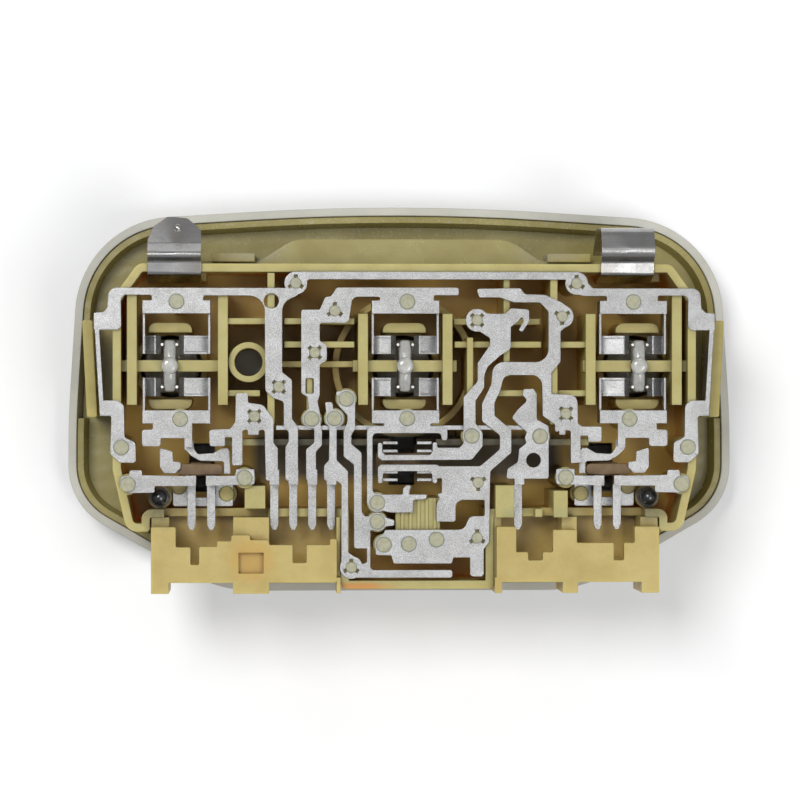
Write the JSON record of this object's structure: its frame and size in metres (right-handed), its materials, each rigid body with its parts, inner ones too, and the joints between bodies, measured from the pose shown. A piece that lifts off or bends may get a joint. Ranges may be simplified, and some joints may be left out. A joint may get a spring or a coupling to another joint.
{
  "type": "interior roof lamp circuit panel",
  "caption": "Vehicle interior roof-lamp panel seen from its back: yellowed carrier with a stamped bus-bar circuit, wedge bulbs, plug bays, spring clips and rocker switches.",
  "frame": {"origin": "middle of the trim ring's front edge, which is the plane the panel lies on face down", "axes": "+X along the panel's length, +Y towards the edge with the spring clips, +Z from the lamp's front to its back, where the circuit is"},
  "size_m": [0.1266, 0.0732, 0.0338],
  "materials": {
    "ring_plastic": "fine grained warm light grey",
    "lens_plastic": "translucent, age-yellowed, faint ribs",
    "tub_plastic": "translucent, yellowed",
    "carrier_plastic": "age-yellowed opaque moulding",
    "bay_plastic": "age-yellowed opaque moulding, polished deck",
    "tinned_brass": "tin plated, satin, fine grain",
    "bulb_glass": "clear",
    "bulb_wire": "nickel wire",
    "rocker_plastic": "dark brown moulding",
    "led_black": "black, glossy",
    "spring_steel": "brushed stainless strip"
  },
  "bodies": {
    "panel": {"trim_ring": "ring_plastic", "lens": "lens_plastic", "reflector_tub": "tub_plastic", "circuit_carrier": "carrier_plastic", "plug_bays_left": "bay_plastic", "plug_bays_right": "bay_plastic", "supply_bar": "tinned_brass", "centre_feed_bar": "tinned_brass", "frame_bar": "tinned_brass", "switch_input_bar": "tinned_brass", "switch_output_bar": "tinned_brass", "distribution_bar": "tinned_brass", "single_pin_bar": "tinned_brass", "ground_bar": "tinned_brass", "jumper_rail": "tinned_brass", "lamp_return_left": "tinned_brass", "lamp_return_right": "tinned_brass", "switch_leaf_left": "tinned_brass", "switch_leaf_right": "tinned_brass", "switch_blade_left": "tinned_brass", "switch_blade_right": "tinned_brass", "pin_bar_outer_left": "tinned_brass", "pin_bar_outer_right": "tinned_brass", "pin_bar_inner_left": "tinned_brass", "pin_bar_inner_right": "tinned_brass", "bridge_plate_left": "tinned_brass", "bridge_plate_right": "tinned_brass", "contact_tabs": "tinned_brass", "bulb_left": "bulb_glass", "bulb_centre": "bulb_glass", "bulb_right": "bulb_glass", "bulb_wires_left": "bulb_wire", "bulb_wires_centre": "bulb_wire", "bulb_wires_right": "bulb_wire", "marking_led_left": "led_black", "marking_led_right": "led_black", "clip_opened": "spring_steel", "clip_sprung": "spring_steel"},
    "left_switch": {"reading_rocker_left": "rocker_plastic"},
    "right_switch": {"reading_rocker_right": "rocker_plastic"},
    "centre_switch": {"centre_rocker": "rocker_plastic", "contact_bridge": "tinned_brass"}
  },
  "joints": [
    {"name": "left_reading_switch", "type": "hinge", "parent": "panel", "child": "left_switch", "pos_m": [-0.0378, -0.013, 0.0064], "axis": [-1, 0, 0], "range_deg": [0, 6]},
    {"name": "right_reading_switch", "type": "hinge", "parent": "panel", "child": "right_switch", "pos_m": [0.0378, -0.013, 0.0064], "axis": [-1, 0, 0], "range_deg": [0, 6]},
    {"name": "centre_lamp_switch", "type": "hinge", "parent": "panel", "child": "centre_switch", "pos_m": [0, -0.0117, 0.0064], "axis": [-1, 0, 0], "range_deg": [-6, 6]}
  ]
}
